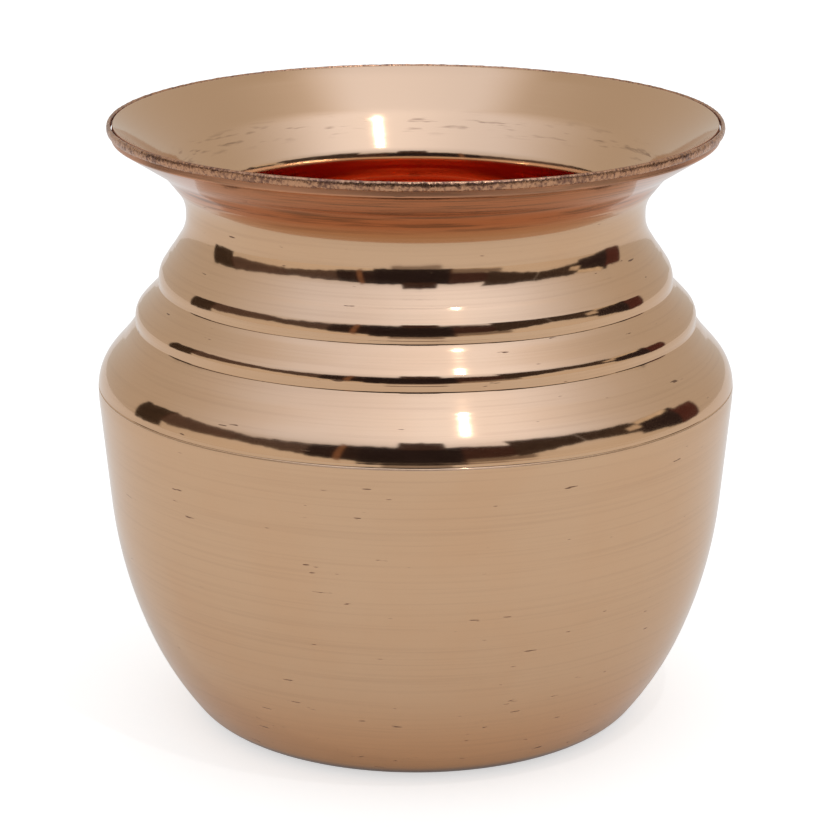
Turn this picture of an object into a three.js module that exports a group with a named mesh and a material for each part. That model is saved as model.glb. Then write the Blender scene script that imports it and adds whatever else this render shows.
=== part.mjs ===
// Copper lota: a small water vessel spun from one round sheet, with a flat base, a tapering belly,
// a shoulder in three steps, a drawn-in throat and a flared lip. The sheet thickens at the throat
// and towards the lip's edge. A narrow hoop of flattened wire is brazed round the edge as the rim.
// Millimetres, +Z up, origin at the centre of the resting face.

import * as THREE from 'three';

// Sheet. Drawing in the throat has thickened it there.
const WALL = 0.6;
const THROAT_WALL = 1.1;

// Radii of the outside, where the straight runs of the section would meet
const HEEL_RADIUS = 36.0;
const BOWL_RADIUS = 43.0;
const SIDE_RADIUS = 50.0;
const BELLY_RADIUS = 52.6;
const LOWER_RING_RADIUS = 46.6;
const LOWER_RING_BROW_RADIUS = 45.6;
const UPPER_RING_RADIUS = 42.6;
const UPPER_RING_BROW_RADIUS = 41.5;
const THROAT_RADIUS = 37.5;
const FLARE_RADIUS = 41.3;
const LIP_RADIUS = 49.4;

// Height of each run above the one below it
const BOWL_RISE = 9.3;
const SIDE_RISE = 17.1;
const BELLY_RISE = 28.9;
const CROWN_RISE = 3.9;
const SHOULDER_RISE = 6.95;
const LOWER_RING_RISE = 1.6;
const LOWER_BROW_RISE = 1.65;
const LEDGE_RISE = 3.5;
const UPPER_RING_RISE = 1.1;
const UPPER_BROW_RISE = 2.6;
const COVE_RISE = 6.2;
const THROAT_RISE = 5.0;
const FLARE_RISE = 5.4;
const LIP_RISE = 4.9;

// Bend radii of the outside. Each ring stands upright and then leans in to its brow. The sheet's
// inside is a wall tighter at those bends of the lower ring.
const HEEL_BEND = 8.2;
const BOWL_BEND = 66;
const SIDE_BEND = 90;
const BELLY_BEND = 14;
const CROWN_BEND = 9;
const RING_FOOT_BEND = 0.5;
const LOWER_RING_INNER_BEND = 0.4;
const UPPER_RING_BEND = 3.0;
const UPPER_BROW_BEND = 2.6;
const COVE_BEND = 7.2;
const THROAT_BEND = 8.4;
const FLARE_BEND = 9;

// Edge inside the throat where the flare starts: its bend is tighter than the outside's, and its
// corner stands this much lower than a wall of even thickness would put it
const THROAT_EDGE_BEND = 4;
const THROAT_EDGE_DROP = 1.3;

// Edge of the lip: a nearly upright face, from the outside's last corner up to the inside's crest
const EDGE_HEIGHT = 2.4;
const EDGE_INSET = 0.3;

// Pair of fine lines turned round the middle of each ring's leaning wall
const LINE_SPACING = 0.7;
const LINE_WIDTH = 0.3;
const LINE_DEPTH = 0.12;

// Rim ring: a narrow hoop of flattened wire, brazed round the upper part of the lip's edge
const RIM_WIDTH = 0.75;
const RIM_HEIGHT = 1.5;
const BRAZE_GAP = 0.15;

// Fineness of the facets
const SIDES = 52;
const CHORD_ERROR = 0.08;
const RIM_SECTION_POINTS = 10;

const copper = new THREE.MeshStandardMaterial({
  name: 'polished_copper',
  color: 0xc08a68,
  roughness: 0.25,
  metalness: 1,
});

const hammeredCopper = new THREE.MeshStandardMaterial({
  name: 'hammered_copper',
  color: 0x9c6448,
  roughness: 0.45,
  metalness: 1,
});

// Corners of the outside of the sheet's section, from the middle of the base up to the lip's edge
function sectionCorners() {
  const lowerBend = LOWER_RING_INNER_BEND + WALL;
  const runs = [
    { radius: 0, rise: 0, bend: 0 },
    { radius: HEEL_RADIUS, rise: 0, bend: HEEL_BEND },
    { radius: BOWL_RADIUS, rise: BOWL_RISE, bend: BOWL_BEND },
    { radius: SIDE_RADIUS, rise: SIDE_RISE, bend: SIDE_BEND },
    { radius: BELLY_RADIUS, rise: BELLY_RISE, bend: BELLY_BEND },
    { radius: BELLY_RADIUS, rise: CROWN_RISE, bend: CROWN_BEND },
    { radius: LOWER_RING_RADIUS, rise: SHOULDER_RISE, bend: RING_FOOT_BEND },
    { radius: LOWER_RING_RADIUS, rise: LOWER_RING_RISE, bend: lowerBend },
    { radius: LOWER_RING_BROW_RADIUS, rise: LOWER_BROW_RISE, bend: lowerBend, lined: true },
    { radius: UPPER_RING_RADIUS, rise: LEDGE_RISE, bend: RING_FOOT_BEND },
    { radius: UPPER_RING_RADIUS, rise: UPPER_RING_RISE, bend: UPPER_RING_BEND },
    {
      radius: UPPER_RING_BROW_RADIUS,
      rise: UPPER_BROW_RISE,
      bend: UPPER_BROW_BEND,
      lined: true,
    },
    { radius: THROAT_RADIUS, rise: COVE_RISE, bend: COVE_BEND, wall: THROAT_WALL },
    {
      radius: THROAT_RADIUS,
      rise: THROAT_RISE,
      bend: THROAT_BEND,
      wall: THROAT_WALL,
      insideBend: THROAT_EDGE_BEND,
      drop: THROAT_EDGE_DROP,
    },
    { radius: FLARE_RADIUS, rise: FLARE_RISE, bend: FLARE_BEND },
    { radius: LIP_RADIUS, rise: LIP_RISE, bend: 0 },
  ];
  let height = 0;
  return runs.map(({ radius, rise, lined = false, wall = WALL, drop = 0, ...bends }) => {
    height += rise;
    return { at: new THREE.Vector2(radius, height), lined, wall, drop, ...bends };
  });
}

// The straight legs between the corners: start, direction, length and the normal that faces outside
function legsBetween(corners) {
  return corners.slice(1).map((corner, i) => {
    const along = corner.at.clone().sub(corners[i].at);
    const length = along.length();
    along.divideScalar(length);
    const out = new THREE.Vector2(along.y, -along.x);
    return { from: corners[i].at, along, length, out, lined: corner.lined };
  });
}

// The bend at each inner corner: how far it turns, its radius and how much of both legs it takes.
// Two bends that share a short leg shrink alike until they fit on it.
function bendsBetween(corners, legs) {
  const bends = legs.slice(1).map((leg, i) => {
    const turn = legs[i].along.cross(leg.along) >= 0 ? 1 : -1;
    const angle = Math.acos(THREE.MathUtils.clamp(legs[i].along.dot(leg.along), -1, 1));
    return { turn, angle, reach: corners[i + 1].bend * Math.tan(angle / 2) };
  });
  const room = legs.map((leg, i) => {
    const taken = (bends[i - 1]?.reach ?? 0) + (bends[i]?.reach ?? 0);
    return Math.min(1, leg.length / Math.max(taken, Number.EPSILON));
  });
  return bends.map((bend, i) => {
    const reach = bend.reach * Math.min(room[i], room[i + 1]);
    return { ...bend, reach, radius: reach / Math.tan(bend.angle / 2) };
  });
}

// Corners of the inside: each outside corner moved in by the wall there, and last the lip's crest.
// A bend of the inside shares its centre with the outside's, unless the corner gives its own.
function insideCorners(corners, legs, bends) {
  const inside = legs.map((leg, i) => {
    const { wall, drop, insideBend } = corners[i];
    const inwards = leg.out.clone().negate();
    let bend = 0;
    if (i > 0) {
      const before = legs[i - 1].out;
      inwards.sub(before).divideScalar(1 + before.dot(leg.out));
      bend = insideBend ?? bends[i - 1].radius - bends[i - 1].turn * wall;
    }
    const at = corners[i].at.clone().addScaledVector(inwards, wall);
    at.y -= drop;
    return { at, bend };
  });
  const lip = corners[corners.length - 1].at;
  inside.push({ at: new THREE.Vector2(lip.x - EDGE_INSET, lip.y + EDGE_HEIGHT), bend: 0 });
  return inside;
}

// Points of one fine V-shaped line cut into a leg at a distance from the leg's start
function turnedLine(leg, distance) {
  const onLeg = (offset) => leg.from.clone().addScaledVector(leg.along, distance + offset);
  return [
    onLeg(-LINE_WIDTH / 2),
    onLeg(0).addScaledVector(leg.out, -LINE_DEPTH),
    onLeg(LINE_WIDTH / 2),
  ];
}

// One skin of the sheet as points from the base to the lip
function skin(legs, bends) {
  const points = [legs[0].from.clone()];
  legs.forEach((leg, i) => {
    if (leg.lined) {
      points.push(...turnedLine(leg, (leg.length - LINE_SPACING) / 2));
      points.push(...turnedLine(leg, (leg.length + LINE_SPACING) / 2));
    }
    const bend = bends[i];
    if (!bend) {
      points.push(leg.from.clone().addScaledVector(leg.along, leg.length));
      return;
    }
    const { turn, angle, reach, radius } = bend;
    const centre = leg.from.clone()
      .addScaledVector(leg.along, leg.length - reach)
      .addScaledVector(leg.out, -turn * radius);
    const stepAngle = 2 * Math.acos(1 - Math.min(CHORD_ERROR / radius, 1));
    const steps = Math.max(2, Math.ceil(angle / stepAngle));
    for (let step = 0; step <= steps; step += 1) {
      const spoke = leg.out.clone().rotateAround(new THREE.Vector2(), (turn * angle * step) / steps);
      points.push(centre.clone().addScaledVector(spoke, turn * radius));
    }
  });
  return points;
}

// A section in the (radius, height) plane, spun round the +Z axis
function spin(section) {
  return new THREE.LatheGeometry(section, SIDES).rotateX(Math.PI / 2);
}

// The sheet between its outside and its inside, closed over the lip's edge
function makeVessel(outside, inside) {
  const vessel = new THREE.Mesh(spin([...outside, ...inside.reverse()]), copper);
  vessel.name = 'vessel';
  return vessel;
}

// The hoop's oval section, level with the crest and a braze gap away from the edge's face
function makeRimRing(edge) {
  const halfWidth = RIM_WIDTH / 2;
  const halfHeight = RIM_HEIGHT / 2;
  const ovalReach = Math.hypot(halfWidth * edge.out.x, halfHeight * edge.out.y);
  const centre = edge.from.clone()
    .addScaledVector(edge.along, edge.length - halfHeight)
    .addScaledVector(edge.out, BRAZE_GAP + ovalReach);

  const section = [];
  for (let i = 0; i <= RIM_SECTION_POINTS; i += 1) {
    const angle = (2 * Math.PI * (i % RIM_SECTION_POINTS)) / RIM_SECTION_POINTS;
    const oval = new THREE.Vector2(halfWidth * Math.cos(angle), halfHeight * Math.sin(angle));
    section.push(centre.clone().add(oval));
  }
  const ring = new THREE.Mesh(spin(section), hammeredCopper);
  ring.name = 'rim_ring';
  return ring;
}

const corners = sectionCorners();
const legs = legsBetween(corners);
const bends = bendsBetween(corners, legs);
const innerCorners = insideCorners(corners, legs, bends);
const innerLegs = legsBetween(innerCorners);
const innerBends = bendsBetween(innerCorners, innerLegs);
const [edge] = legsBetween([corners[corners.length - 1], innerCorners[innerCorners.length - 1]]);

const lota = new THREE.Group();
lota.name = 'lota';
lota.add(makeVessel(skin(legs, bends), skin(innerLegs, innerBends)));
lota.add(makeRimRing(edge));

export default lota;
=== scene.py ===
import math

import bpy
from mathutils import Matrix, Vector


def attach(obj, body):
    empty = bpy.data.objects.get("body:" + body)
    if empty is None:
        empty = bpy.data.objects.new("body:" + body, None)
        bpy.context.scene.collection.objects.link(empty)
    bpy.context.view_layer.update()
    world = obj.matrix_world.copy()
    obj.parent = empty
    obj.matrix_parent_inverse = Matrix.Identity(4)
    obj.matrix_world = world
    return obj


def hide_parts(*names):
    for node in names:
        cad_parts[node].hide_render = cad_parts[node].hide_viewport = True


# Copper lota: one spun sheet with a stepped shoulder, a drawn-in throat and a flared lip, and a
# narrow hoop of hammered wire brazed round the lip's edge. Blender's units are metres, +Z is up
# and the base stands on the floor at z = 0. The sizes of the copper are given in millimetres.

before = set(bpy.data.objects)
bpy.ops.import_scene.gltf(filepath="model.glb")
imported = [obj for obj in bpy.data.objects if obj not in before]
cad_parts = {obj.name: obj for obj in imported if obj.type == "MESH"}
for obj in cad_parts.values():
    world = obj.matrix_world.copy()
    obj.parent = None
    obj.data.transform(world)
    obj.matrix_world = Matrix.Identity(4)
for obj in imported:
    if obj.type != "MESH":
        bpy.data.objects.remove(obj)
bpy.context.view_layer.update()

MM = 0.001

# Sheet, and the outside of its section where the straight runs would meet, from the base to the
# lip: radius, height, bend radius, wall
WALL = 0.6
THROAT_WALL = 1.1
SECTION_CORNERS = (
    (0.0, 0.0, 0.0, WALL),
    (36.0, 0.0, 8.2, WALL),
    (43.0, 9.3, 66.0, WALL),
    (50.0, 26.4, 90.0, WALL),
    (52.6, 55.3, 14.0, WALL),
    (52.6, 59.5, 8.0, WALL),
    (50.3, 62.3, 14.0, WALL),
    (48.15, 64.65, 6.0, WALL),
    (46.2, 67.35, 0.5, WALL),
    (46.3, 69.15, 3.7, WALL),
    (45.75, 69.95, 0.5, WALL),
    (45.1, 70.7, 6.0, WALL),
    (42.9, 72.95, 4.0, WALL),
    (42.3, 73.75, 0.4, WALL),
    (42.35, 75.5, 4.8, WALL),
    (41.75, 76.7, 1.0, WALL),
    (40.5, 78.6, 4.0, WALL),
    (40.06, 79.15, 5.0, WALL),
    (37.6, 83.0, 7.1, THROAT_WALL),
    (37.6, 88.0, 6.6, THROAT_WALL),
    (41.6, 93.1, 9.0, WALL),
    (49.4, 98.1, 0.0, WALL),
)

# Fine lines turned round the outside: height, width, depth
TURNED_LINES = (
    (57.0, 0.20, 0.004),
    (57.6, 0.20, 0.004),
    (58.0, 0.22, 0.004),
    (68.45, 0.26, 0.030),
    (71.5, 0.22, 0.003),
    (71.9, 0.22, 0.004),
    (74.45, 0.30, 0.040),
    (80.0, 0.20, 0.006),
    (89.6, 0.22, 0.012),
    (91.0, 0.24, 0.020),
)

# Inside the throat where the flare starts: the number of its corner, its own bend radius, and how
# much lower it stands than a wall of even thickness would put it
THROAT_EDGE = 19
THROAT_EDGE_BEND = 4.0
THROAT_EDGE_DROP = 1.3
SMALLEST_BEND = 0.1

# Edge of the lip: a nearly upright face under the inside's crest
EDGE_HEIGHT = 2.4
EDGE_INSET = 0.3
EDGE_STEP = 0.3

# Easing of the edge's foot and crest: its length, where its points lie as shares of that length,
# and how far the crest's points leave its two faces
EDGE_EASING = 0.25
EASING_NEAR = 0.35
EASING_FAR = 0.6
FOOT_RISE = 0.08
CREST_SINK = 0.02
CREST_LIFT = 0.03

# Fineness of the sheet's mesh
CHORD_ERROR = 0.003
OUTSIDE_STEP = 1.2
INSIDE_STEP = 2.4
VESSEL_SIDES = 224
SEAM_DISTANCE = 2e-6

# Wear of the sheet: shallow dents, and a slow sway of its height, which the rim ring shares
DENT_DEPTH = 0.10
DENT_SIZE = 22.0
SWAY = 0.4
SWAY_SCALE = 0.9
SEED = 3.0

# Rim ring: a narrow hoop of flattened wire round the upper part of the lip's edge, and the size of
# its hammering
RIM_WIDTH = 0.75
RIM_HEIGHT = 1.5
BRAZE_GAP = 0.15
RIM_SIDES = 1100
RIM_POINTS = 28
FACET_DEPTH = 0.10
FACET_SIZE = 1.2
GRAIN_DEPTH = 0.10
GRAIN_SIZE = 0.4

# Metals, as linear colours
POLISHED = (0.66, 0.43, 0.268, 1.0)
REDDENED = (0.63, 0.34, 0.17, 1.0)
# Dark tarnish for streaks, tool marks, nicks and smudges, also used as the painted shade along the
# bottom of the base
TARNISH_AND_PAINTED_SHADE = (0.20, 0.11, 0.07, 1.0)
BARE = (0.80, 0.29, 0.15, 1.0)
TOOLED = (0.58, 0.26, 0.14, 1.0)
WORKED = (0.53, 0.285, 0.165, 1.0)
WORKED_DARK = (0.20, 0.10, 0.07, 1.0)

# Turned metal spreads a highlight by this much, and a quarter turn puts the spread across its lines
BRUSHED = 0.75
ACROSS_THE_LINES = 0.25

# Camera: metres from the axis and above the floor, and degrees up from looking straight down
CAMERA_DISTANCE = 0.475
CAMERA_HEIGHT = 0.1924
CAMERA_TILT = 73.34
CAMERA_LENS = 128.8
CAMERA_SHIFT = -0.00205

# Table top, and the light it adds to itself for the camera and in reflections
TABLE_RADIUS = 1.2
TABLE_SIDES = 96
TABLE_GREY = (0.66, 0.66, 0.66, 1.0)
TABLE_LIFT = 0.58
TABLE_LIFT_REFLECTED = 0.20

# Room, in degrees round and up: the front fades to the back between two azimuths, light rises from
# the walls to overhead between two elevations, and so do its coolness and the patch at the zenith
WHITE = (1.0, 1.0, 1.0, 1.0)
ROOM_LOW = (1.0, 0.96, 0.89, 1.0)
ROOM_HIGH = (0.97, 1.09, 1.33, 1.0)
FRONT_FADE = (50.0, 135.0)
ROOM_RISE = (18.0, 58.0)
COOL_RISE = (5.0, 45.0)
ZENITH_RISE = (60.0, 78.0)
WALL_LIGHT = 0.62
WALL_LIGHT_IN_FRONT = 0.16
OVERHEAD_LIGHT = 0.60
OVERHEAD_LIGHT_IN_FRONT = 0.44
EVEN_LIGHT = 0.85

# Small round lamp, with a soft glow on the ceiling round it
LAMP_DIRECTION = (0.215, -0.400, 0.891)
LAMP_DISTANCE = 1.2
LAMP_SIZE = 0.007
LAMP_POWER = 0.9
LAMP_GLOW = 0.35
LAMP_GLOW_FALLOFF = 9.0

# Clear screen that carries the dark cards: metres, then degrees, then the waviness of their edges
SCREEN_RADIUS = 0.45
SCREEN_HEIGHT = 0.06
SCREEN_SIDE = 128
SCREEN_FOOT = -20
SCREEN_HEAD = 60
SCREEN_COLUMNS = 64
SCREEN_ROWS = 20
WAVE_SCALE = 14.0
WAVE_DETAIL = 5.0
WAVE_HEIGHT = 6.0

# Dark things round the front of the studio, and two pale patches of painted light, which only
# reflections show: left and right edges, foot at left and right, head at left and right, softness
# (all in degrees, azimuth 0 towards the camera and growing to the right), brightness and how much
# it hides
CARDS = (
    (-111, -96, -4, -1, 19, 24, 0.6, (0.055, 0.040, 0.030), 1.0),
    (-97, -64, 5, 13, 25, 27, 0.9, (0.085, 0.050, 0.040), 0.95),
    (-65, -36, 14, 9, 25, 31, 0.9, (0.070, 0.042, 0.034), 0.95),
    (-37, -18, 8, 5, 31, 34, 0.8, (0.030, 0.020, 0.020), 1.0),
    (-19, 17, 0, 0, 35, 34, 0.7, (0.022, 0.016, 0.018), 1.0),
    (-11, 12, -6, -7, 0, 0, 1.2, (0.130, 0.085, 0.060), 0.7),
    (-6.5, 11, 30, 30, 44, 43, 0.6, (0.055, 0.034, 0.030), 1.0),
    (16, 40, 1, 3, 10, 9, 1.2, (0.130, 0.085, 0.060), 0.8),
    (16, 35, 9, 10, 34, 31, 0.8, (0.060, 0.032, 0.028), 1.0),
    (34, 60, 8, 18, 40, 33, 0.7, (0.055, 0.040, 0.034), 1.0),
    (60, 83, 18, 9, 33, 28, 0.7, (0.060, 0.045, 0.038), 1.0),
    (82, 104, 5, -3, 25, 23.5, 0.6, (0.034, 0.024, 0.026), 1.0),
    (102, 113, -3, -3, 20, 17, 0.8, (0.090, 0.035, 0.032), 1.0),
    # These two are pale: painted patches of light that glow on the screen and show only in
    # reflections
    (78, 84, 15, 15, 21, 21, 1.0, (0.62, 0.56, 0.48), 0.9),
    (84, 101, 21, 21, 26, 26, 0.8, (0.72, 0.66, 0.56), 0.9),
    (-27, -24.5, 6, 2, 37, 33, 0.6, (0.240, 0.130, 0.080), 0.8),
)


def set_inputs(tree, node, values):
    """Links or sets inputs of a node, each given by name or number."""
    for key, value in values.items():
        socket = node.inputs[key]
        if isinstance(value, bpy.types.NodeSocket):
            tree.links.new(value, socket)
        else:
            socket.default_value = value


def add_node(tree, kind, inputs=None, **settings):
    """Adds a node with its settings and its inputs."""
    node = tree.nodes.new(kind)
    for key, value in settings.items():
        setattr(node, key, value)
    set_inputs(tree, node, inputs or {})
    return node


def calc(tree, operation, *values):
    """The result of a Math node on sockets or numbers."""
    return add_node(tree, "ShaderNodeMath", dict(enumerate(values)), operation=operation).outputs[0]


def rise_between(tree, value, start, end):
    """0 below start and 1 above end, with a soft rise between them."""
    inputs = {"Value": value, "From Min": start, "From Max": end}
    node = add_node(tree, "ShaderNodeMapRange", inputs, interpolation_type="SMOOTHSTEP")
    return node.outputs["Result"]


def marks_from(tree, value, start, end, strength):
    """Marks where a value rises from start to end, as strong as a number or a mask."""
    return calc(tree, "MULTIPLY", rise_between(tree, value, start, end), strength)


def vector_of(tree, x, y, z):
    """A vector from three sockets or numbers."""
    return add_node(tree, "ShaderNodeCombineXYZ", {"X": x, "Y": y, "Z": z}).outputs[0]


def noise_of(tree, place, scale, detail):
    """Noise from 0 to 1 on a place."""
    inputs = {"Vector": place, "Scale": scale, "Detail": detail}
    return add_node(tree, "ShaderNodeTexNoise", inputs).outputs[0]


def blend_colours(tree, mask, first, second):
    """The first colour where the mask is 0 and the second where it is 1."""
    return add_node(tree, "ShaderNodeMix", {0: mask, 6: first, 7: second},
                    data_type="RGBA").outputs[2]


def bumpy_normal(tree, height, strength, distance):
    """The normal that a Bump node makes from a height."""
    inputs = {"Height": height, "Strength": strength, "Distance": distance}
    return add_node(tree, "ShaderNodeBump", inputs).outputs[0]


def new_group(name, kind, inputs, outputs):
    """A node group with its inputs (name, socket type, value) and outputs (name, socket type)."""
    group = bpy.data.node_groups.new(name, kind)
    for socket_name, socket_type, value in inputs:
        socket = group.interface.new_socket(socket_name, in_out="INPUT", socket_type=socket_type)
        if value is not None:
            socket.default_value = value
    for socket_name, socket_type in outputs:
        group.interface.new_socket(socket_name, in_out="OUTPUT", socket_type=socket_type)
    start = group.nodes.new("NodeGroupInput")
    end = group.nodes.new("NodeGroupOutput")
    return group, start.outputs, end.inputs


def place_group(tree, group, inputs):
    """The outputs of a shader node group placed in a tree."""
    node = tree.nodes.new("ShaderNodeGroup")
    node.node_tree = group
    set_inputs(tree, node, inputs)
    return node.outputs


def new_tree(data, kind):
    """An emptied node tree of a material or world, and the socket of its surface."""
    data.use_nodes = True
    data.node_tree.nodes.clear()
    return data.node_tree, data.node_tree.nodes.new(kind).inputs["Surface"]


def put_in_scene(name, data):
    """A new object in the scene."""
    thing = bpy.data.objects.new(name, data)
    bpy.context.scene.collection.objects.link(thing)
    return thing


def section_corners():
    """Corners of the outside of the sheet's section in millimetres, from the base to the lip."""
    return [{"at": Vector((radius, height)), "bend": bend, "wall": wall}
            for radius, height, bend, wall in SECTION_CORNERS]


def section_legs(corners):
    """The straight legs between the corners, with the normal that faces outside."""
    legs = []
    for start, end in zip(corners, corners[1:]):
        length = (end["at"] - start["at"]).length
        along = (end["at"] - start["at"]) / length
        out = Vector((along.y, -along.x))
        legs.append({"start": start["at"], "along": along, "out": out, "length": length})
    return legs


def section_bends(corners, legs):
    """The bend at each inner corner: its turn, angle, radius and how much of both legs it takes."""
    bends = []
    for corner, before, after in zip(corners[1:], legs, legs[1:]):
        cross = before["along"].x * after["along"].y - before["along"].y * after["along"].x
        angle = math.acos(max(-1.0, min(1.0, before["along"].dot(after["along"]))))
        reach = corner["bend"] * math.tan(angle / 2)
        bends.append({"turn": 1 if cross >= 0 else -1, "angle": angle, "reach": reach})
    reaches = [0.0] + [bend["reach"] for bend in bends] + [0.0]
    taken = [before + after for before, after in zip(reaches, reaches[1:])]
    room = [min(1.0, leg["length"] / max(reach, 1e-9)) for leg, reach in zip(legs, taken)]
    for bend, here, there in zip(bends, room, room[1:]):
        bend["reach"] *= min(here, there)
        bend["radius"] = bend["reach"] / math.tan(bend["angle"] / 2)
    return bends


def inside_corners(corners, legs, bends):
    """The outside's corners moved in by the wall there, and last the lip's crest."""
    inside = [{"at": corners[0]["at"] - legs[0]["out"] * corners[0]["wall"], "bend": 0.0}]
    for corner, before, after, bend in zip(corners[1:], legs, legs[1:], bends):
        slant = (before["out"] + after["out"]) / (1 + before["out"].dot(after["out"]))
        radius = max(SMALLEST_BEND, bend["radius"] - bend["turn"] * corner["wall"])
        inside.append({"at": corner["at"] - slant * corner["wall"], "bend": radius})
    inside[THROAT_EDGE]["at"].y -= THROAT_EDGE_DROP
    inside[THROAT_EDGE]["bend"] = THROAT_EDGE_BEND
    crest = corners[-1]["at"] + Vector((-EDGE_INSET, EDGE_HEIGHT))
    return inside + [{"at": crest, "bend": 0.0}]


def straight_points(leg, start, end, step):
    """Evenly spaced points on a stretch of a leg."""
    count = max(1, math.ceil((end - start) / step))
    places = [start + (end - start) * i / count for i in range(count + 1)]
    return [leg["start"] + leg["along"] * place for place in places]


def bend_points(leg, bend, end, step):
    """Points round a bend that starts at the end of a leg's straight stretch, without both ends."""
    centre = leg["start"] + leg["along"] * end - leg["out"] * (bend["turn"] * bend["radius"])
    finest = 2 * math.acos(1 - min(CHORD_ERROR / bend["radius"], 1))
    length = bend["angle"] * bend["radius"]
    count = max(3, math.ceil(bend["angle"] / finest), math.ceil(length / step))
    points = []
    for i in range(1, count):
        swing = Matrix.Rotation(bend["turn"] * bend["angle"] * i / count, 2)
        points.append(centre + (swing @ leg["out"]) * (bend["turn"] * bend["radius"]))
    return points


def skin_points(legs, bends, step, tip):
    """One skin of the sheet from the base to the lip, whose last point is cut back by the tip."""
    points = []
    for i, leg in enumerate(legs):
        start = bends[i - 1]["reach"] if i > 0 else 0.0
        end = leg["length"] - (bends[i]["reach"] if i < len(bends) else tip)
        points += straight_points(leg, start, end, step)
        if i < len(bends):
            points += bend_points(leg, bends[i], end, step)
    return points


def with_turned_lines(points):
    """The outside's points with every fine line cut into it at its height."""
    cut = []
    lines = list(TURNED_LINES)
    for before, after in zip(points, points[1:]):
        cut.append(before)
        along = (after - before).normalized()
        while lines and before.y <= lines[0][0] < after.y:
            height, width, depth = lines.pop(0)
            middle = before + (after - before) * ((height - before.y) / (after.y - before.y))
            out = Vector((along.y, -along.x))
            cut = [point for point in cut
                   if (point - middle).length > width / 2 or point.y > height]
            cut += [middle - along * width / 2, middle - out * depth, middle + along * width / 2]
    return cut + [points[-1]]


def edge_points(lip_leg, edge, crest_leg):
    """The upright face of the lip's edge, with its foot and crest eased into both skins."""
    foot = edge["start"]
    crest = foot + edge["along"] * edge["length"]
    near = EDGE_EASING * EASING_NEAR
    points = [foot - lip_leg["along"] * near + edge["along"] * EDGE_EASING * FOOT_RISE]
    points += [foot + edge["along"] * EDGE_EASING * EASING_FAR]
    points += straight_points(edge, EDGE_EASING, edge["length"] - EDGE_EASING, EDGE_STEP)
    points += [crest - edge["along"] * near - edge["out"] * CREST_SINK]
    points += [crest - crest_leg["along"] * near + crest_leg["out"] * CREST_LIFT]
    return points


def section_line(name, points):
    """A bare line through (radius, height) points in millimetres, kept in the XZ plane."""
    mesh = bpy.data.meshes.new(name)
    vertices = [(point.x * MM, 0.0, point.y * MM) for point in points]
    mesh.from_pydata(vertices, [(i, i + 1) for i in range(len(vertices) - 1)], [])
    return put_in_scene(name, mesh)


def round_grid(tree, section, sides):
    """A grid with one column for each side and one row for each point of the section line.
    Gives the grid, its row numbers, the section's radius and height there, and the turn's cosine
    and sine."""
    size = add_node(tree, "GeometryNodeAttributeDomainSize", {"Geometry": section})
    rows = size.outputs["Point Count"]
    columns = calc(tree, "ADD", sides, 1.0)
    grid = add_node(tree, "GeometryNodeMeshGrid", {"Vertices X": columns, "Vertices Y": rows})
    index = add_node(tree, "GeometryNodeInputIndex").outputs[0]
    row = calc(tree, "MODULO", index, rows)
    column = calc(tree, "FLOOR", calc(tree, "DIVIDE", calc(tree, "ADD", index, 0.5), rows))
    place = add_node(tree, "GeometryNodeInputPosition").outputs[0]
    sample = add_node(tree, "GeometryNodeSampleIndex", data_type="FLOAT_VECTOR", domain="POINT")
    set_inputs(tree, sample, {"Geometry": section, "Value": place, "Index": row})
    point = add_node(tree, "ShaderNodeSeparateXYZ", {0: sample.outputs[0]}).outputs
    turn = calc(tree, "FRACT", calc(tree, "DIVIDE", column, sides))
    angle = calc(tree, "MULTIPLY", turn, 2 * math.pi)
    cosine = calc(tree, "COSINE", angle)
    sine = calc(tree, "SINE", angle)
    return grid.outputs[0], row, point["X"], point["Z"], cosine, sine


def turned_place(tree, radius, cosine, sine, height):
    """The place at a radius, turn and height."""
    return vector_of(tree, calc(tree, "MULTIPLY", radius, cosine),
                     calc(tree, "MULTIPLY", radius, sine), height)


def noise_between(tree, place, scale, seed, detail=0.0):
    """Noise from -0.5 to 0.5 on a place."""
    inputs = {"Vector": place, "Scale": scale, "W": seed, "Detail": detail}
    noise = add_node(tree, "ShaderNodeTexNoise", inputs, noise_dimensions="4D")
    return calc(tree, "SUBTRACT", noise.outputs[0], 0.5)


def slow_sway(tree, cosine, sine, given):
    """A slow rise and fall round the vessel."""
    sway = noise_between(tree, vector_of(tree, cosine, sine, 0.0), SWAY_SCALE, given["Seed"])
    return calc(tree, "MULTIPLY", sway, given["Sway"])


def closed_and_real(tree, grid, place):
    """The grid moved to its place, its seams merged, smooth and realized."""
    placed = add_node(tree, "GeometryNodeSetPosition", {"Geometry": grid, "Position": place})
    closed = add_node(tree, "GeometryNodeMergeByDistance",
                      {"Geometry": placed.outputs[0], "Distance": SEAM_DISTANCE})
    smooth = add_node(tree, "GeometryNodeSetShadeSmooth", {"Geometry": closed.outputs[0]})
    real = add_node(tree, "GeometryNodeRealizeInstances", {"Geometry": smooth.outputs[0]})
    return real.outputs[0]


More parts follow.
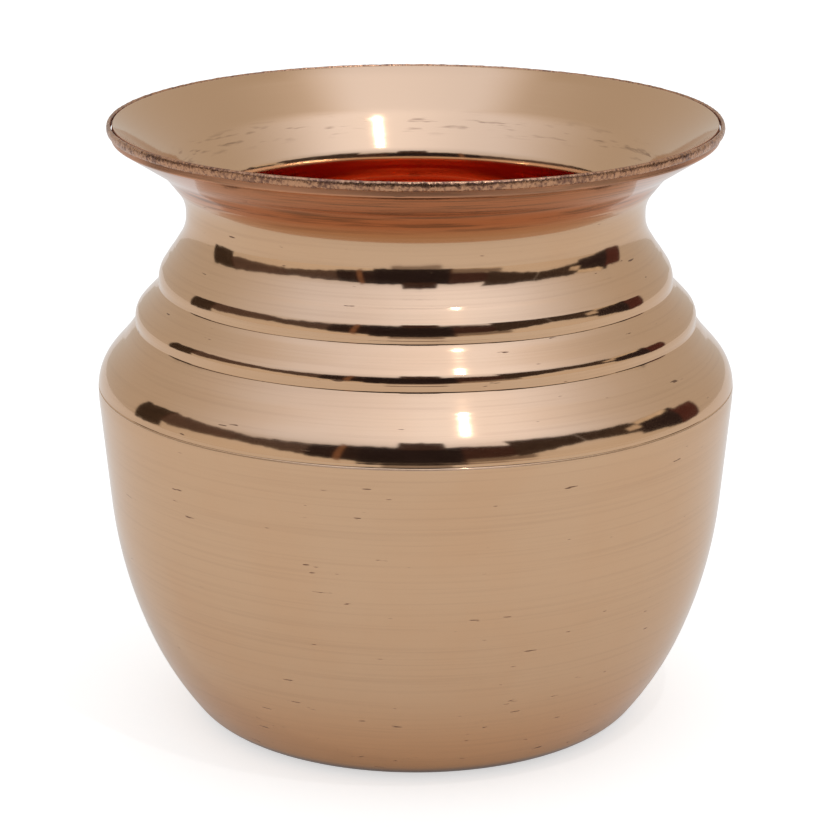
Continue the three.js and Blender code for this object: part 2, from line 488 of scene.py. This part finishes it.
def spinning_tree():
    """Spins a closed section line round Z, a little out of true, with a finish for each skin."""
    group, given, result = new_group("Spin the sheet", "GeometryNodeTree", (
        ("Section", "NodeSocketGeometry", None),
        ("Sides", "NodeSocketInt", 224),
        ("Outside points", "NodeSocketInt", 100),
        ("Dent depth", "NodeSocketFloat", 0.0),
        ("Dent size", "NodeSocketFloat", 0.03),
        ("Sway", "NodeSocketFloat", 0.0),
        ("Seed", "NodeSocketFloat", 3.0),
        ("Outside finish", "NodeSocketMaterial", None),
        ("Inside finish", "NodeSocketMaterial", None),
    ), (("Vessel", "NodeSocketGeometry"),))
    grid, row, radius, height, cosine, sine = round_grid(group, given["Section"], given["Sides"])
    inner = calc(group, "GREATER_THAN", row, calc(group, "SUBTRACT", given["Outside points"], 0.5))
    marked = add_node(group, "GeometryNodeStoreNamedAttribute",
                      {"Geometry": grid, "Name": "inner_skin", "Value": inner})

    # Shallow dents all over, and a slow sway of the height round the vessel, none of it at the base
    true_place = turned_place(group, radius, cosine, sine, height)
    dent_scale = calc(group, "DIVIDE", 1.0, given["Dent size"])
    dent = noise_between(group, true_place, dent_scale, given["Seed"], 1.0)
    dent = calc(group, "MULTIPLY", dent, given["Dent depth"])
    dent = calc(group, "MULTIPLY", dent, rise_between(group, height, 0.001, 0.012))
    sway = slow_sway(group, cosine, sine, given)
    sway = calc(group, "MULTIPLY", sway, rise_between(group, height, 0.002, 0.060))
    spun = turned_place(group, calc(group, "ADD", radius, dent), cosine, sine,
                        calc(group, "ADD", height, sway))

    real = closed_and_real(group, marked.outputs[0], spun)
    outside = add_node(group, "GeometryNodeSetMaterial",
                       {"Geometry": real, "Material": given["Outside finish"]})
    is_inner = add_node(group, "GeometryNodeInputNamedAttribute", {"Name": "inner_skin"},
                        data_type="FLOAT")
    selection = calc(group, "GREATER_THAN", is_inner.outputs["Attribute"], 0.4)
    inside = add_node(group, "GeometryNodeSetMaterial", {
        "Geometry": outside.outputs[0],
        "Material": given["Inside finish"],
        "Selection": selection,
    })
    group.links.new(inside.outputs[0], result["Vessel"])
    return group


def hammering_tree():
    """Bends a closed oval section round into a ring and hammers it: flat facets, grain and a
    ragged edge."""
    group, given, result = new_group("Hammer the rim ring", "GeometryNodeTree", (
        ("Section", "NodeSocketGeometry", None),
        ("Sides", "NodeSocketInt", 900),
        ("Centre radius", "NodeSocketFloat", 0.049),
        ("Centre height", "NodeSocketFloat", 0.100),
        ("Facet depth", "NodeSocketFloat", 0.0001),
        ("Facet size", "NodeSocketFloat", 0.0016),
        ("Grain depth", "NodeSocketFloat", 0.00004),
        ("Grain size", "NodeSocketFloat", 0.0005),
        ("Sway", "NodeSocketFloat", 0.0),
        ("Seed", "NodeSocketFloat", 3.0),
        ("Finish", "NodeSocketMaterial", None),
    ), (("Ring", "NodeSocketGeometry"),))
    grid, _, radius, height, cosine, sine = round_grid(group, given["Section"], given["Sides"])
    true_place = turned_place(group, radius, cosine, sine, height)
    facet_scale = calc(group, "DIVIDE", 1.0, given["Facet size"])
    facets = add_node(group, "ShaderNodeTexVoronoi",
                      {"Vector": true_place, "Scale": facet_scale, "Smoothness": 0.35},
                      feature="SMOOTH_F1")
    facet = calc(group, "SUBTRACT", 0.45, facets.outputs["Distance"])
    facet = calc(group, "MULTIPLY", facet, given["Facet depth"])
    grain_scale = calc(group, "DIVIDE", 1.0, given["Grain size"])
    grain = noise_between(group, true_place, grain_scale, given["Seed"], 2.0)
    grain = calc(group, "MULTIPLY", grain, given["Grain depth"])
    rough = calc(group, "ADD", facet, grain)

    # The hammering moves the surface in or out, away from the middle of the wire
    from_radius = calc(group, "SUBTRACT", radius, given["Centre radius"])
    from_height = calc(group, "SUBTRACT", height, given["Centre height"])
    squares = calc(group, "ADD", calc(group, "MULTIPLY", from_radius, from_radius),
                   calc(group, "MULTIPLY", from_height, from_height))
    reach = calc(group, "SQRT", squares)
    scale = calc(group, "ADD", 1.0, calc(group, "DIVIDE", rough, reach))
    real_radius = calc(group, "MULTIPLY_ADD", from_radius, scale, given["Centre radius"])
    real_height = calc(group, "MULTIPLY_ADD", from_height, scale, given["Centre height"])
    real_height = calc(group, "ADD", real_height, slow_sway(group, cosine, sine, given))
    bent = turned_place(group, real_radius, cosine, sine, real_height)

    finished = add_node(group, "GeometryNodeSetMaterial", {
        "Geometry": closed_and_real(group, grid, bent),
        "Material": given["Finish"],
    })
    group.links.new(finished.outputs[0], result["Ring"])
    return group


def made_by(tree, line, name, values):
    """The plain mesh piece that a geometry tree makes from a section line, with its inputs set."""
    modifier = line.modifiers.new("Make", "NODES")
    modifier.node_group = tree
    for item in tree.interface.items_tree:
        if item.in_out == "INPUT" and item.name in values:
            modifier[item.identifier] = values[item.name]
    bpy.context.view_layer.update()
    evaluated = line.evaluated_get(bpy.context.evaluated_depsgraph_get())
    mesh = bpy.data.meshes.new_from_object(evaluated)
    line.modifiers.remove(modifier)
    bpy.data.objects.remove(line)
    face_outwards(mesh)
    mesh.name = name
    return put_in_scene(name, mesh)


def face_outwards(mesh):
    """Turns a closed mesh right side out."""
    mesh.calc_loop_triangles()
    volume = 0.0
    for triangle in mesh.loop_triangles:
        a, b, c = (mesh.vertices[i].co for i in triangle.vertices)
        volume += a.dot(b.cross(c))
    if volume < 0:
        mesh.flip_normals()


def turned_lines_group():
    """Streaks along the turning: a value that changes up and across the sheet, and slowly round
    it."""
    group, given, result = new_group("Turned lines", "ShaderNodeTree", (
        ("Place", "NodeSocketVector", None),
        ("Spacing", "NodeSocketFloat", 0.0008),
        ("Length", "NodeSocketFloat", 1.0),
        ("Seed", "NodeSocketFloat", 0.0),
    ), (("Value", "NodeSocketFloat"),))
    place = add_node(group, "ShaderNodeSeparateXYZ", {0: given["Place"]}).outputs
    squares = calc(group, "ADD", calc(group, "MULTIPLY", place["X"], place["X"]),
                   calc(group, "MULTIPLY", place["Y"], place["Y"]))
    radius = calc(group, "SQRT", squares)
    safe = calc(group, "MAXIMUM", radius, 0.001)
    slow = calc(group, "DIVIDE", 1.0, given["Length"])
    cosine = calc(group, "MULTIPLY", calc(group, "DIVIDE", place["X"], safe), slow)
    sine = calc(group, "MULTIPLY", calc(group, "DIVIDE", place["Y"], safe), slow)
    across = calc(group, "DIVIDE", radius, given["Spacing"])
    up = calc(group, "DIVIDE", place["Z"], given["Spacing"])
    noise = add_node(group, "ShaderNodeTexNoise", {
        "Vector": vector_of(group, across, up, cosine),
        "W": calc(group, "ADD", sine, given["Seed"]),
        "Scale": 1.0,
        "Detail": 2.0,
        "Roughness": 0.6,
    }, noise_dimensions="4D")
    group.links.new(noise.outputs[0], result["Value"])
    return group


def band_group():
    """A soft band of heights: 1 between its two edges."""
    group, given, result = new_group("Band of heights", "ShaderNodeTree", (
        ("Place", "NodeSocketVector", None),
        ("Low", "NodeSocketFloat", 0.0),
        ("High", "NodeSocketFloat", 0.1),
        ("Softness", "NodeSocketFloat", 0.002),
    ), (("Mask", "NodeSocketFloat"),))
    height = add_node(group, "ShaderNodeSeparateXYZ", {0: given["Place"]}).outputs["Z"]
    above, beyond = (
        rise_between(group, height, calc(group, "SUBTRACT", given[edge], given["Softness"]),
                     calc(group, "ADD", given[edge], given["Softness"]))
        for edge in ("Low", "High"))
    mask = calc(group, "MULTIPLY", above, calc(group, "SUBTRACT", 1.0, beyond))
    group.links.new(mask, result["Mask"])
    return group


class Copper:
    """A metal, its node tree and its Principled shader, with the groups that it uses."""

    def __init__(self, name, brushed=0.0, turned_lines=None, band=None):
        self.turned_lines = turned_lines
        self.band = band
        self.material = bpy.data.materials.new(name)
        self.tree, surface = new_tree(self.material, "ShaderNodeOutputMaterial")
        self.shader = add_node(self.tree, "ShaderNodeBsdfPrincipled", {
            "Metallic": 1.0,
            "Anisotropic": brushed,
            "Anisotropic Rotation": ACROSS_THE_LINES,
        })
        self.tree.links.new(self.shader.outputs[0], surface)
        self.place = add_node(self.tree, "ShaderNodeTexCoord").outputs["Object"]

    def streaks(self, spacing, length, seed=0.0):
        """Streaks along the turning, by their spacing and length."""
        return place_group(self.tree, self.turned_lines, {
            "Place": self.place, "Spacing": spacing, "Length": length, "Seed": seed})["Value"]

    def heights(self, low, high, softness):
        """A mask between two heights."""
        return place_group(self.tree, self.band, {
            "Place": self.place, "Low": low, "High": high, "Softness": softness})["Mask"]

    def finish(self, colour, roughness, normal):
        """The material with its looks linked to the shader."""
        set_inputs(self.tree, self.shader,
                   {"Base Color": colour, "Roughness": roughness, "Normal": normal})
        return self.material


def polished_copper(turned_lines, band):
    """Outside of the vessel: buffed copper with turned lines, redder at the base and under the
    flare, with a painted shade along the bottom of the base where it meets the table."""
    copper = Copper("Copper, buffed outside", BRUSHED, turned_lines, band)
    tree = copper.tree
    fine = copper.streaks(spacing=0.0005, length=0.9)
    broad = copper.streaks(spacing=0.0032, length=0.5, seed=4.0)
    tool = copper.streaks(spacing=0.0007, length=0.35, seed=7.0)
    nick = copper.streaks(spacing=0.0006, length=0.10, seed=5.0)
    foot = copper.heights(low=-0.030, high=0.011, softness=0.011)
    # Painted shade: a dark band along the bottom of the base, where it meets the table
    painted_base_shade = copper.heights(low=-0.010, high=0.0020, softness=0.0009)
    neck = copper.heights(low=0.0905, high=0.110, softness=0.0016)
    edge = copper.heights(low=0.0981, high=0.110, softness=0.0003)
    clouds = noise_of(tree, copper.place, scale=60.0, detail=3.0)

    worn = marks_from(tree, clouds, 0.35, 0.75, strength=0.20)
    reddened = calc(tree, "MAXIMUM", foot, worn)
    streaked = marks_from(tree, fine, 0.45, 0.75, strength=0.09)
    tooled = marks_from(tree, tool, 0.46, 0.66, strength=calc(tree, "MULTIPLY", neck, 0.75))
    more_at_the_foot = calc(tree, "MULTIPLY_ADD", foot, 0.035, nick)
    nicked = marks_from(tree, more_at_the_foot, 0.71, 0.74, strength=0.95)
    # Streaks, tool marks and nicks, and the painted shade along the base, all take the tarnish
    # colour
    dark = calc(tree, "MAXIMUM", calc(tree, "MAXIMUM", streaked, tooled),
                calc(tree, "MAXIMUM", nicked, painted_base_shade))
    colour = blend_colours(tree, reddened, POLISHED, REDDENED)
    colour = blend_colours(tree, neck, colour, TOOLED)
    colour = blend_colours(tree, dark, colour, TARNISH_AND_PAINTED_SHADE)
    colour = blend_colours(tree, calc(tree, "MULTIPLY", edge, 0.4), colour, WORKED)

    roughness = calc(tree, "MULTIPLY_ADD", fine, 0.08, 0.05)
    roughness = calc(tree, "MULTIPLY_ADD", foot, 0.12, roughness)
    roughness = calc(tree, "MULTIPLY_ADD", nicked, 0.25, roughness)
    roughness = calc(tree, "MULTIPLY_ADD", edge, 0.30, roughness)

    height = calc(tree, "MULTIPLY_ADD", broad, 0.7, calc(tree, "MULTIPLY", fine, 0.35))
    height = calc(tree, "MULTIPLY_ADD", calc(tree, "MULTIPLY", tool, neck), 0.9, height)
    normal = bumpy_normal(tree, height, strength=0.25, distance=0.00003)
    return copper.finish(colour, roughness, normal)


def inside_copper(turned_lines, band):
    """Inside of the vessel: buffed in the flare, bare and red below the throat, with a ring of
    tarnish."""
    copper = Copper("Copper, inside", BRUSHED, turned_lines, band)
    tree = copper.tree
    fine = copper.streaks(spacing=0.0006, length=0.8, seed=9.0)
    spots = copper.streaks(spacing=0.0009, length=0.16, seed=2.0)
    deep = copper.heights(low=-0.010, high=0.084, softness=0.003)
    ring = copper.heights(low=0.0908, high=0.0930, softness=0.0012)

    smudges = marks_from(tree, spots, 0.53, 0.68, strength=ring)
    colour = blend_colours(tree, deep, POLISHED, BARE)
    colour = blend_colours(tree, calc(tree, "MULTIPLY", smudges, 0.6), colour, TARNISH_AND_PAINTED_SHADE)
    roughness = calc(tree, "MULTIPLY_ADD", fine, 0.08, 0.06)
    roughness = calc(tree, "MULTIPLY_ADD", smudges, 0.2, roughness)
    normal = bumpy_normal(tree, fine, strength=0.3, distance=0.00003)
    return copper.finish(colour, roughness, normal)


def hammered_copper():
    """The rim ring: worked copper, grainy, dark in its hollows."""
    copper = Copper("Copper, hammered")
    tree = copper.tree
    grain = noise_of(tree, copper.place, scale=2100.0, detail=3.0)
    patches = noise_of(tree, copper.place, scale=260.0, detail=2.0)

    dark = calc(tree, "ADD", calc(tree, "MULTIPLY", grain, 0.7),
                calc(tree, "MULTIPLY", patches, 0.35))
    colour = blend_colours(tree, rise_between(tree, dark, 0.44, 0.68), WORKED, WORKED_DARK)
    roughness = calc(tree, "MULTIPLY_ADD", grain, 0.3, 0.12)
    normal = bumpy_normal(tree, grain, strength=0.8, distance=0.00012)
    return copper.finish(colour, roughness, normal)


def make_vessel(turned_lines, band):
    """The spun sheet: outside skin, the lip's edge and inside skin in one closed mesh. Gives the
    edge."""
    corners = section_corners()
    legs = section_legs(corners)
    bends = section_bends(corners, legs)
    inner_corners = inside_corners(corners, legs, bends)
    inner_legs = section_legs(inner_corners)
    inner_bends = section_bends(inner_corners, inner_legs)
    edge = section_legs([corners[-1], inner_corners[-1]])[0]
    outside = with_turned_lines(skin_points(legs, bends, OUTSIDE_STEP, EDGE_EASING))
    outside += edge_points(legs[-1], edge, inner_legs[-1])
    inside = skin_points(inner_legs, inner_bends, INSIDE_STEP, EDGE_EASING)
    line = section_line("Sheet section", outside + inside[::-1])
    vessel = made_by(spinning_tree(), line, "spun_vessel", {
        "Sides": VESSEL_SIDES,
        "Outside points": len(outside),
        "Dent depth": DENT_DEPTH * MM,
        "Dent size": DENT_SIZE * MM,
        "Sway": SWAY * MM,
        "Seed": SEED,
        "Outside finish": polished_copper(turned_lines, band),
        "Inside finish": inside_copper(turned_lines, band),
    })
    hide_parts("vessel")
    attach(vessel, "root")
    return edge


def make_rim_ring(edge):
    """The hammered hoop round the lip's edge, level with its crest."""
    half_width = RIM_WIDTH / 2
    half_height = RIM_HEIGHT / 2
    oval_reach = math.hypot(half_width * edge["out"].x, half_height * edge["out"].y)
    centre = edge["start"] + edge["along"] * (edge["length"] - half_height)
    centre += edge["out"] * (BRAZE_GAP + oval_reach)
    points = []
    for i in range(RIM_POINTS + 1):
        angle = 2 * math.pi * (i % RIM_POINTS) / RIM_POINTS
        oval = Vector((half_width * math.cos(angle), half_height * math.sin(angle)))
        points.append(centre + oval)
    line = section_line("Rim section", points)
    ring = made_by(hammering_tree(), line, "hammered_rim", {
        "Sides": RIM_SIDES,
        "Centre radius": centre.x * MM,
        "Centre height": centre.y * MM,
        "Facet depth": FACET_DEPTH * MM,
        "Facet size": FACET_SIZE * MM,
        "Grain depth": GRAIN_DEPTH * MM,
        "Grain size": GRAIN_SIZE * MM,
        "Sway": SWAY * MM,
        "Seed": SEED,
        "Finish": hammered_copper(),
    })
    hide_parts("rim_ring")
    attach(ring, "root")


def make_floor():
    """A pale round table top that shows white to the camera and keeps the vessel's shadow."""
    mesh = bpy.data.meshes.new("Table top")
    turns = [2 * math.pi * i / TABLE_SIDES for i in range(TABLE_SIDES)]
    points = [(TABLE_RADIUS * math.cos(turn), TABLE_RADIUS * math.sin(turn), 0.0)
              for turn in turns]
    mesh.from_pydata(points, [], [tuple(range(TABLE_SIDES))])
    floor = put_in_scene("Table top", mesh)

    material = bpy.data.materials.new("Table, pale")
    tree, surface = new_tree(material, "ShaderNodeOutputMaterial")
    diffuse = add_node(tree, "ShaderNodeBsdfDiffuse", {"Color": TABLE_GREY})
    rays = add_node(tree, "ShaderNodeLightPath").outputs
    reflected = calc(tree, "MULTIPLY", rays["Is Glossy Ray"], TABLE_LIFT_REFLECTED)
    lift = calc(tree, "MULTIPLY_ADD", rays["Is Camera Ray"], TABLE_LIFT, reflected)
    glow = add_node(tree, "ShaderNodeEmission", {"Strength": lift})
    both = add_node(tree, "ShaderNodeAddShader", {0: diffuse.outputs[0], 1: glow.outputs[0]})
    tree.links.new(both.outputs[0], surface)
    mesh.materials.append(material)


def card_group():
    """A soft-edged card, by azimuth and elevation in degrees, with a sloping foot and head."""
    group, given, result = new_group("Card in the room", "ShaderNodeTree", (
        ("Azimuth", "NodeSocketFloat", 0.0),
        ("Elevation", "NodeSocketFloat", 0.0),
        ("Left", "NodeSocketFloat", -10.0),
        ("Right", "NodeSocketFloat", 10.0),
        ("Foot left", "NodeSocketFloat", 0.0),
        ("Foot right", "NodeSocketFloat", 0.0),
        ("Head left", "NodeSocketFloat", 20.0),
        ("Head right", "NodeSocketFloat", 20.0),
        ("Softness", "NodeSocketFloat", 0.7),
    ), (("Mask", "NodeSocketFloat"),))
    past_left = calc(group, "SUBTRACT", given["Azimuth"], given["Left"])
    width = calc(group, "SUBTRACT", given["Right"], given["Left"])
    across = calc(group, "DIVIDE", past_left, width)
    foot, head = (
        calc(group, "MULTIPLY_ADD",
             calc(group, "SUBTRACT", given[f"{line} right"], given[f"{line} left"]),
             across, given[f"{line} left"])
        for line in ("Foot", "Head"))
    mask = 1.0
    for inside in (past_left,
                   calc(group, "SUBTRACT", given["Right"], given["Azimuth"]),
                   calc(group, "SUBTRACT", given["Elevation"], foot),
                   calc(group, "SUBTRACT", head, given["Elevation"])):
        outwards = calc(group, "MULTIPLY", given["Softness"], -1.0)
        edge = rise_between(group, inside, outwards, given["Softness"])
        mask = calc(group, "MULTIPLY", mask, edge)
    group.links.new(mask, result["Mask"])
    return group


def azimuth_and_elevation(tree, direction):
    """A direction's unit vector, its azimuth from the camera's side to the right and its elevation,
    in degrees."""
    unit = add_node(tree, "ShaderNodeVectorMath", {0: direction}, operation="NORMALIZE").outputs[0]
    toward = add_node(tree, "ShaderNodeSeparateXYZ", {0: unit}).outputs
    degrees = 180 / math.pi
    elevation = calc(tree, "MULTIPLY", calc(tree, "ARCSINE", toward["Z"]), degrees)
    forward = calc(tree, "MULTIPLY", toward["Y"], -1.0)
    azimuth = calc(tree, "MULTIPLY", calc(tree, "ARCTAN2", toward["X"], forward), degrees)
    return unit, azimuth, elevation


def screen_mesh():
    """Part of a sphere round the front, seen from the vessel."""
    points = []
    for row in range(SCREEN_ROWS + 1):
        elevation = math.radians(SCREEN_FOOT + (SCREEN_HEAD - SCREEN_FOOT) * row / SCREEN_ROWS)
        level = SCREEN_RADIUS * math.cos(elevation)
        height = SCREEN_HEIGHT + SCREEN_RADIUS * math.sin(elevation)
        for column in range(SCREEN_COLUMNS + 1):
            azimuth = math.radians(-SCREEN_SIDE + 2 * SCREEN_SIDE * column / SCREEN_COLUMNS)
            points.append((level * math.sin(azimuth), -level * math.cos(azimuth), height))
    faces = []
    for row in range(SCREEN_ROWS):
        for column in range(SCREEN_COLUMNS):
            first = row * (SCREEN_COLUMNS + 1) + column
            above = first + SCREEN_COLUMNS + 1
            faces.append((first, first + 1, above + 1, above))
    mesh = bpy.data.meshes.new("Screen of dark cards")
    mesh.from_pydata(points, [], faces)
    return mesh


def stand_cards(card):
    """The dark cards, painted on a clear screen that shows in reflections only."""
    mesh = screen_mesh()
    screen = put_in_scene("Screen of dark cards", mesh)
    screen.visible_camera = False
    screen.visible_diffuse = False
    screen.visible_shadow = False

    material = bpy.data.materials.new("Dark cards")
    tree, surface = new_tree(material, "ShaderNodeOutputMaterial")
    place = add_node(tree, "ShaderNodeTexCoord").outputs["Object"]
    from_middle = add_node(tree, "ShaderNodeVectorMath", {0: place, 1: (0.0, 0.0, SCREEN_HEIGHT)},
                           operation="SUBTRACT").outputs[0]
    unit, azimuth, elevation = azimuth_and_elevation(tree, from_middle)
    wave = noise_of(tree, unit, WAVE_SCALE, WAVE_DETAIL)
    wavy = calc(tree, "MULTIPLY_ADD", calc(tree, "SUBTRACT", wave, 0.5), WAVE_HEIGHT, elevation)
    mottled = calc(tree, "MULTIPLY_ADD", wave, 1.0, 0.5)
    colour = (0.0, 0.0, 0.0, 1.0)
    clear = 1.0
    for left, right, foot_left, foot_right, head_left, head_right, softness, shade, hide in CARDS:
        mask = place_group(tree, card, {
            "Azimuth": azimuth, "Elevation": wavy, "Left": left, "Right": right,
            "Foot left": foot_left, "Foot right": foot_right,
            "Head left": head_left, "Head right": head_right, "Softness": softness})["Mask"]
        tint = vector_of(tree, *(calc(tree, "MULTIPLY", mottled, part) for part in shade))
        colour = blend_colours(tree, mask, colour, tint)
        covered = calc(tree, "MULTIPLY", mask, hide)
        clear = calc(tree, "MULTIPLY", clear, calc(tree, "SUBTRACT", 1.0, covered))
    glow = add_node(tree, "ShaderNodeEmission", {"Color": colour})
    air = add_node(tree, "ShaderNodeBsdfTransparent")
    both = add_node(tree, "ShaderNodeMixShader", {0: clear, 1: glow.outputs[0], 2: air.outputs[0]})
    tree.links.new(both.outputs[0], surface)
    mesh.materials.append(material)


def light_room():
    """Pale studio: even light for the table, white for the camera, and a pale room for the
    reflections."""
    world = bpy.data.worlds.new("Studio")
    bpy.context.scene.world = world
    tree, surface = new_tree(world, "ShaderNodeOutputWorld")
    direction = add_node(tree, "ShaderNodeTexCoord").outputs["Generated"]
    unit, azimuth, elevation = azimuth_and_elevation(tree, direction)

    # Overhead is brightest, mostly round the lamp, and the backdrop behind is dimmer than the table
    sideways = calc(tree, "ABSOLUTE", azimuth)
    front = calc(tree, "SUBTRACT", 1.0, rise_between(tree, sideways, *FRONT_FADE))
    low = calc(tree, "MULTIPLY_ADD", front, WALL_LIGHT_IN_FRONT, WALL_LIGHT)
    above = calc(tree, "MAXIMUM", front, rise_between(tree, elevation, *ZENITH_RISE))
    high = calc(tree, "MULTIPLY_ADD", above, OVERHEAD_LIGHT_IN_FRONT, OVERHEAD_LIGHT)
    level = calc(tree, "MULTIPLY_ADD", calc(tree, "SUBTRACT", high, low),
                 rise_between(tree, elevation, *ROOM_RISE), low)
    lamp_side = add_node(tree, "ShaderNodeVectorMath", {0: unit, 1: LAMP_DIRECTION},
                         operation="DOT_PRODUCT").outputs["Value"]
    glow = calc(tree, "POWER", calc(tree, "MAXIMUM", lamp_side, 0.0), LAMP_GLOW_FALLOFF)
    level = calc(tree, "MULTIPLY_ADD", glow, LAMP_GLOW, level)
    cool = calc(tree, "MULTIPLY", above, rise_between(tree, elevation, *COOL_RISE))
    tint = blend_colours(tree, cool, ROOM_LOW, ROOM_HIGH)
    colour = add_node(tree, "ShaderNodeVectorMath", {0: tint, "Scale": level},
                      operation="SCALE").outputs[0]

    rays = add_node(tree, "ShaderNodeLightPath").outputs
    room, even, white = (
        add_node(tree, "ShaderNodeBackground", {"Color": light, "Strength": strength}).outputs[0]
        for light, strength in ((colour, 1.0), (WHITE, EVEN_LIGHT), (WHITE, 1.0)))
    lit = add_node(tree, "ShaderNodeMixShader", {0: rays["Is Glossy Ray"], 1: even, 2: room})
    seen = add_node(tree, "ShaderNodeMixShader",
                    {0: rays["Is Camera Ray"], 1: lit.outputs[0], 2: white})
    tree.links.new(seen.outputs[0], surface)


def hang_lamp():
    """A small round lamp, up and to the right of the camera."""
    light = bpy.data.lights.new("Lamp", "AREA")
    light.shape = "DISK"
    light.size = LAMP_SIZE
    light.energy = LAMP_POWER
    lamp = put_in_scene("Lamp", light)
    lamp.location = Vector(LAMP_DIRECTION) * LAMP_DISTANCE
    lamp.rotation_euler = Vector(LAMP_DIRECTION).to_track_quat("Z", "Y").to_euler()


def place_camera():
    """The photograph's viewpoint: close in front and a little above."""
    data = bpy.data.cameras.new("Camera")
    data.lens = CAMERA_LENS
    data.sensor_width = 36.0
    data.shift_x = CAMERA_SHIFT
    data.clip_start = 0.01
    camera = put_in_scene("Camera", data)
    camera.location = (0.0, -CAMERA_DISTANCE, CAMERA_HEIGHT)
    camera.rotation_euler = (math.radians(CAMERA_TILT), 0.0, 0.0)
    bpy.context.scene.camera = camera


place_camera()
lines = turned_lines_group()
height_band = band_group()
lip_edge = make_vessel(lines, height_band)
make_rim_ring(lip_edge)
make_floor()
stand_cards(card_group())
light_room()
hang_lamp()

# Enough bounces for the reflections among the shoulder's steps and inside the vessel
BOUNCES = 24
scene = bpy.context.scene
scene.view_settings.view_transform = "Standard"
scene.cycles.max_bounces = BOUNCES
scene.cycles.glossy_bounces = BOUNCES
